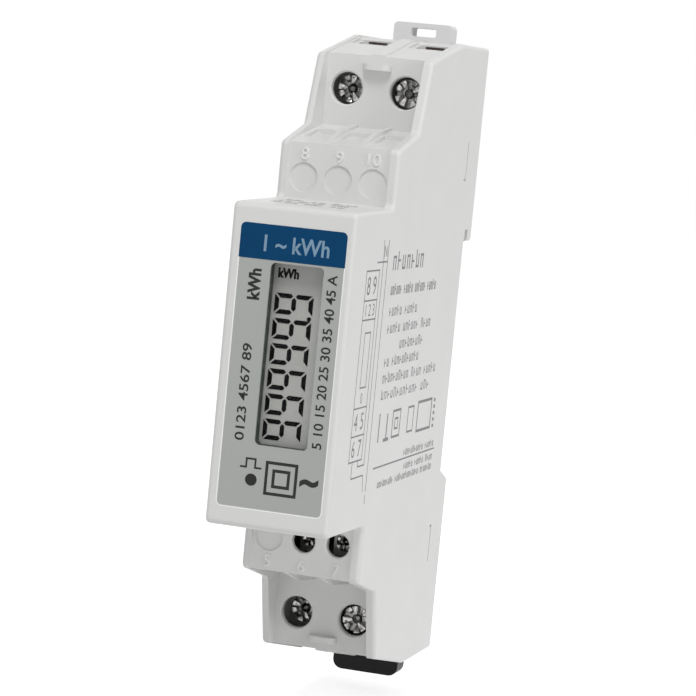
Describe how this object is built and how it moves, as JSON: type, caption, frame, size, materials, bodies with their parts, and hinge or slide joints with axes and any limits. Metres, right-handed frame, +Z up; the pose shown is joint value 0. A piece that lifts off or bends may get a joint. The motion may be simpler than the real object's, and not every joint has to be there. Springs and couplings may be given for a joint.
{
  "type": "single-phase energy meter",
  "caption": "Slim rail-mounted electricity meter with a stepped front, a raised nose with a display, screw terminals above and below, and sprung rail clips.",
  "frame": {"origin": "centre of the land that rests on the rail", "axes": "+Z up along the height, +Y towards the rail, -Y out of the front, +X to the right seen from the front"},
  "size_m": [0.0178, 0.0642, 0.1021],
  "materials": {
    "housing_white": "fine satin moulding, pale grey-white",
    "label_grey": "printed film, silver-grey, matt",
    "label_blue": "printed dark blue field, matt",
    "clear_pane": "clear polycarbonate, polished",
    "display_grey": "liquid-crystal cell, grey, glossy",
    "display_ink": "lit display segments, black",
    "lamp_smoke": "smoked light pipe, polished",
    "frame_white": "white moulded frame",
    "strip_rubber": "striped contact rubber",
    "board_green": "solder mask over glass-fibre board",
    "chip_black": "moulded chip package",
    "capacitor_yellow": "film capacitor box",
    "capacitor_sleeve": "shrunk sleeve, dark blue",
    "varistor_blue": "dipped coating, blue",
    "resistor_coat": "cement coating, grey-green",
    "can_steel": "drawn can, tin-plated",
    "copper": "rolled copper bar, bare",
    "shunt_alloy": "resistance alloy, dull",
    "lead_tin": "tinned wire",
    "clamp_steel": "zinc-plated pressed steel",
    "screw_steel": "bright nickel-plated screw",
    "clip_white": "white moulded rail clip",
    "clip_black": "black moulded rail clip"
  },
  "bodies": {
    "root": {"housing_tub": "housing_white", "side_cover": "housing_white", "front_label": "label_grey", "label_band": "label_blue", "display_window": "clear_pane", "lamp_window": "lamp_smoke", "display_glass": "display_grey", "display_segments": "display_ink", "display_frame": "frame_white", "contact_strips": "strip_rubber", "display_board": "board_green", "display_driver": "chip_black", "pulse_lamp": "frame_white", "main_board": "board_green", "board_header": "chip_black", "metering_chip": "chip_black", "dropper_capacitor": "capacitor_yellow", "smoothing_capacitor": "capacitor_sleeve", "varistor": "varistor_blue", "power_resistor": "resistor_coat", "crystal": "can_steel", "optocoupler": "chip_black", "rectifier": "chip_black", "sense_leads": "lead_tin", "neutral_lead": "copper", "line_bar_lower": "copper", "line_bar_upper": "copper", "shunt": "shunt_alloy", "neutral_bar": "copper", "terminal_frame_1": "clamp_steel", "terminal_frame_2": "clamp_steel", "terminal_frame_3": "clamp_steel", "terminal_frame_4": "clamp_steel", "pulse_frame_6": "clamp_steel", "pulse_frame_7": "clamp_steel"},
    "upper_clip": {"rail_clip_upper": "clip_white"},
    "lower_clip": {"rail_clip_lower": "clip_black"},
    "clamp_1": {"clamp_plate_1": "clamp_steel"},
    "screw_1": {"terminal_screw_1": "screw_steel"},
    "clamp_2": {"clamp_plate_2": "clamp_steel"},
    "screw_2": {"terminal_screw_2": "screw_steel"},
    "clamp_3": {"clamp_plate_3": "clamp_steel"},
    "screw_3": {"terminal_screw_3": "screw_steel"},
    "clamp_4": {"clamp_plate_4": "clamp_steel"},
    "screw_4": {"terminal_screw_4": "screw_steel"},
    "clamp_6": {"pulse_plate_6": "clamp_steel"},
    "screw_6": {"pulse_screw_6": "screw_steel"},
    "clamp_7": {"pulse_plate_7": "clamp_steel"},
    "screw_7": {"pulse_screw_7": "screw_steel"}
  },
  "joints": [
    {"name": "upper_clip_pull", "type": "slide", "parent": "root", "child": "upper_clip", "axis": [0, 0, 1], "range_m": [0, 0.003], "stiffness_N_per_m": 250, "springref_m": -0.002},
    {"name": "lower_clip_pull", "type": "slide", "parent": "root", "child": "lower_clip", "axis": [0, 0, -1], "range_m": [0, 0.003], "stiffness_N_per_m": 250, "springref_m": -0.002},
    {"name": "clamp_1_travel", "type": "slide", "parent": "root", "child": "clamp_1", "axis": [0, 1, 0], "range_m": [-0.0034, 0.001]},
    {"name": "screw_1_turn", "type": "hinge", "parent": "clamp_1", "child": "screw_1", "pos_m": [-0.0045, -0.024, -0.0392], "axis": [0, 1, 0], "range_deg": [-1752.07, 515.31]},
    {"name": "clamp_2_travel", "type": "slide", "parent": "root", "child": "clamp_2", "axis": [0, 1, 0], "range_m": [-0.0019, 0.0025]},
    {"name": "screw_2_turn", "type": "hinge", "parent": "clamp_2", "child": "screw_2", "pos_m": [-0.0045, -0.024, 0.0392], "axis": [0, 1, 0], "range_deg": [-979.1, 1288.29]},
    {"name": "clamp_3_travel", "type": "slide", "parent": "root", "child": "clamp_3", "axis": [0, 1, 0], "range_m": [-0.0004, 0.004]},
    {"name": "screw_3_turn", "type": "hinge", "parent": "clamp_3", "child": "screw_3", "pos_m": [0.0045, -0.024, -0.0392], "axis": [0, 1, 0], "range_deg": [-206.13, 2061.26]},
    {"name": "clamp_4_travel", "type": "slide", "parent": "root", "child": "clamp_4", "axis": [0, 1, 0], "range_m": [-0.001, 0.0034]},
    {"name": "screw_4_turn", "type": "hinge", "parent": "clamp_4", "child": "screw_4", "pos_m": [0.0045, -0.024, 0.0392], "axis": [0, 1, 0], "range_deg": [-515.31, 1752.07]},
    {"name": "clamp_6_travel", "type": "slide", "parent": "root", "child": "clamp_6", "axis": [0, 1, 0], "range_m": [-0.0026, 0.0004]},
    {"name": "screw_6_turn", "type": "hinge", "parent": "clamp_6", "child": "screw_6", "pos_m": [0, -0.024, -0.026], "axis": [0, 1, 0], "range_deg": [-2084.16, 320.64]},
    {"name": "clamp_7_travel", "type": "slide", "parent": "root", "child": "clamp_7", "axis": [0, 1, 0], "range_m": [-0.0026, 0.0004]},
    {"name": "screw_7_turn", "type": "hinge", "parent": "clamp_7", "child": "screw_7", "pos_m": [0.00515, -0.024, -0.026], "axis": [0, 1, 0], "range_deg": [-2084.16, 320.64]}
  ],
  "couplings": [
    {"joint": "screw_1_turn", "follows": "clamp_1_travel", "rad_per_m": 8976},
    {"joint": "screw_2_turn", "follows": "clamp_2_travel", "rad_per_m": 8976},
    {"joint": "screw_3_turn", "follows": "clamp_3_travel", "rad_per_m": 8976},
    {"joint": "screw_4_turn", "follows": "clamp_4_travel", "rad_per_m": 8976},
    {"joint": "screw_6_turn", "follows": "clamp_6_travel", "rad_per_m": 13963},
    {"joint": "screw_7_turn", "follows": "clamp_7_travel", "rad_per_m": 13963}
  ]
}
